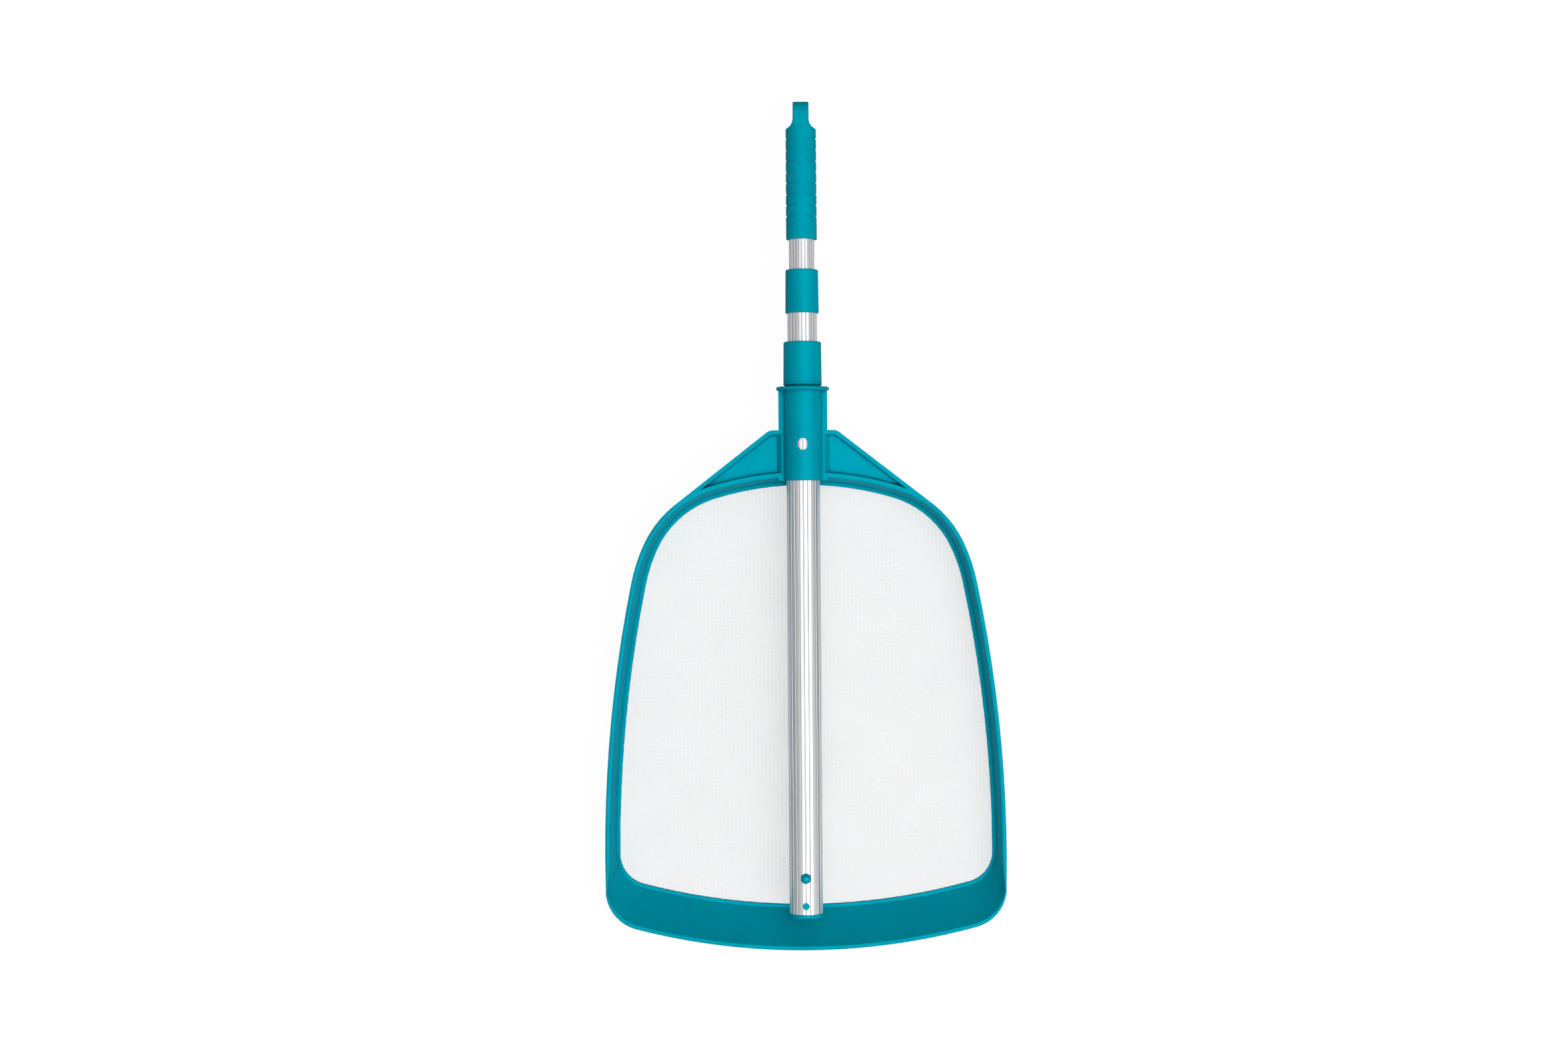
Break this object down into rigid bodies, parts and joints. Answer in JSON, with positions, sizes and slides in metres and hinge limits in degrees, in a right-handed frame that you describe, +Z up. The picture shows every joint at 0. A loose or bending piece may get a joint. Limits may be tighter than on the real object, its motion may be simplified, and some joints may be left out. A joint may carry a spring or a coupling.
{
  "type": "leaf skimmer net",
  "caption": "Scoop-shaped leaf skimmer with a flat fine net, a tubular socket and a telescopic fluted pole with twist locks, a snap button and a grip with a hanging loop.",
  "frame": {"origin": "under the middle of the object's bounding box, on the plane that the scoop's base stands on", "axes": "+Y along the pole towards the grip, +Z up out of the scoop, +X to the right seen from above"},
  "size_m": [0.3, 0.6336, 0.0479],
  "materials": {
    "teal_plastic": "moulded, satin gloss",
    "teal_grip": "soft moulded, matt",
    "white_net": "fine woven nylon net",
    "bright_aluminium": "fluted, bright drawn",
    "white_plastic": "moulded",
    "spring_steel": "bright strip"
  },
  "bodies": {
    "net_head": {"net_frame": "teal_plastic", "net_mesh": "white_net"},
    "outer_section": {"outer_tube": "bright_aluminium", "outer_collar": "teal_plastic", "end_plug": "teal_plastic", "button_spring": "spring_steel"},
    "button": {"snap_button": "teal_plastic"},
    "middle_cam": {"middle_cam_ring": "white_plastic"},
    "middle_section": {"middle_tube": "bright_aluminium", "middle_collar": "teal_plastic", "middle_cam_plug": "white_plastic"},
    "inner_cam": {"inner_cam_ring": "white_plastic"},
    "inner_section": {"inner_tube": "bright_aluminium", "inner_cam_plug": "white_plastic", "handle_grip": "teal_grip"}
  },
  "joints": [
    {"name": "pole_slide", "type": "slide", "parent": "net_head", "child": "outer_section", "axis": [0, 1, 0], "range_m": [0, 0.3225]},
    {"name": "button_press", "type": "slide", "parent": "outer_section", "child": "button", "axis": [0, 0, -1], "range_m": [0, 0.0034], "stiffness_N_per_m": 800, "springref_m": -0.003, "deforming": ["button_spring"]},
    {"name": "middle_slide", "type": "slide", "parent": "outer_section", "child": "middle_cam", "axis": [0, 1, 0], "range_m": [0, 0.31]},
    {"name": "middle_twist", "type": "hinge", "parent": "middle_cam", "child": "middle_section", "pos_m": [0, 0, 0.028], "axis": [0, 1, 0], "range_deg": [0, 90]},
    {"name": "inner_slide", "type": "slide", "parent": "middle_section", "child": "inner_cam", "axis": [0, 1, 0], "range_m": [0, 0.31]},
    {"name": "inner_twist", "type": "hinge", "parent": "inner_cam", "child": "inner_section", "pos_m": [0, 0, 0.028], "axis": [0, 1, 0], "range_deg": [0, 90]}
  ]
}
